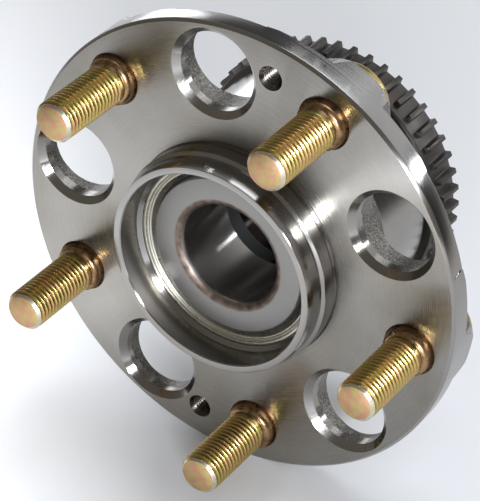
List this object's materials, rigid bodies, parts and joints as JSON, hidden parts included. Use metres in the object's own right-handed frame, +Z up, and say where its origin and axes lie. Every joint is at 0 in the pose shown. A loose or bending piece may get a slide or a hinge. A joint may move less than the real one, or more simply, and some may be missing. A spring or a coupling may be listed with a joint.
{
  "type": "wheel hub bearing",
  "caption": "Car wheel hub: a studded flange with a centring pilot and round windows turns on a sealed ball bearing, with a toothed speed-sensor ring behind.",
  "frame": {"origin": "on the hub's axis, in the plane of the brake disc's mounting face", "axes": "+Y along the hub's axis away from the wheel, so the wheel side faces -Y; +Z up"},
  "size_m": [0.1386, 0.0832, 0.1385],
  "materials": {
    "turned_forged_steel": "turned faces, rough forged skin between",
    "bearing_steel": "fine ground",
    "ball_steel": "polished",
    "yellow_zinc_steel": "yellow zinc plate",
    "plated_sheet_steel": "satin plate",
    "sintered_steel": "dull, lightly oiled",
    "nitrile_rubber": "matte",
    "moulded_nylon": "matte",
    "black_plastic": "matte"
  },
  "bodies": {
    "inner_rings": {"inner_ring_outboard": "bearing_steel", "inner_ring_inboard": "bearing_steel", "inner_ring_clip": "black_plastic"},
    "hub": {"hub_flange": "turned_forged_steel", "seal_case_outboard": "plated_sheet_steel", "seal_case_inboard": "plated_sheet_steel", "seal_lip_outboard": "nitrile_rubber", "seal_lip_inboard": "nitrile_rubber", "wheel_stud_1": "yellow_zinc_steel", "wheel_stud_2": "yellow_zinc_steel", "wheel_stud_3": "yellow_zinc_steel", "wheel_stud_4": "yellow_zinc_steel", "wheel_stud_5": "yellow_zinc_steel", "tone_ring": "sintered_steel"},
    "cage_row_outboard": {"cage_outboard": "moulded_nylon", "ball_outboard_01": "ball_steel", "ball_outboard_02": "ball_steel", "ball_outboard_03": "ball_steel", "ball_outboard_04": "ball_steel", "ball_outboard_05": "ball_steel", "ball_outboard_06": "ball_steel", "ball_outboard_07": "ball_steel", "ball_outboard_08": "ball_steel", "ball_outboard_09": "ball_steel", "ball_outboard_10": "ball_steel", "ball_outboard_11": "ball_steel", "ball_outboard_12": "ball_steel", "ball_outboard_13": "ball_steel"},
    "cage_row_inboard": {"cage_inboard": "moulded_nylon", "ball_inboard_01": "ball_steel", "ball_inboard_02": "ball_steel", "ball_inboard_03": "ball_steel", "ball_inboard_04": "ball_steel", "ball_inboard_05": "ball_steel", "ball_inboard_06": "ball_steel", "ball_inboard_07": "ball_steel", "ball_inboard_08": "ball_steel", "ball_inboard_09": "ball_steel", "ball_inboard_10": "ball_steel", "ball_inboard_11": "ball_steel", "ball_inboard_12": "ball_steel", "ball_inboard_13": "ball_steel"}
  },
  "joints": [
    {"name": "hub_spin", "type": "hinge", "parent": "inner_rings", "child": "hub", "pos_m": [0, 0, 0], "axis": [0, 1, 0], "continuous": true},
    {"name": "cage_spin_outboard", "type": "hinge", "parent": "inner_rings", "child": "cage_row_outboard", "pos_m": [0, 0, 0], "axis": [0, 1, 0], "continuous": true},
    {"name": "cage_spin_inboard", "type": "hinge", "parent": "inner_rings", "child": "cage_row_inboard", "pos_m": [0, 0, 0], "axis": [0, 1, 0], "continuous": true}
  ],
  "couplings": [
    {"joint": "cage_spin_outboard", "follows": "hub_spin", "ratio": 0.58304},
    {"joint": "cage_spin_inboard", "follows": "hub_spin", "ratio": 0.58304}
  ]
}
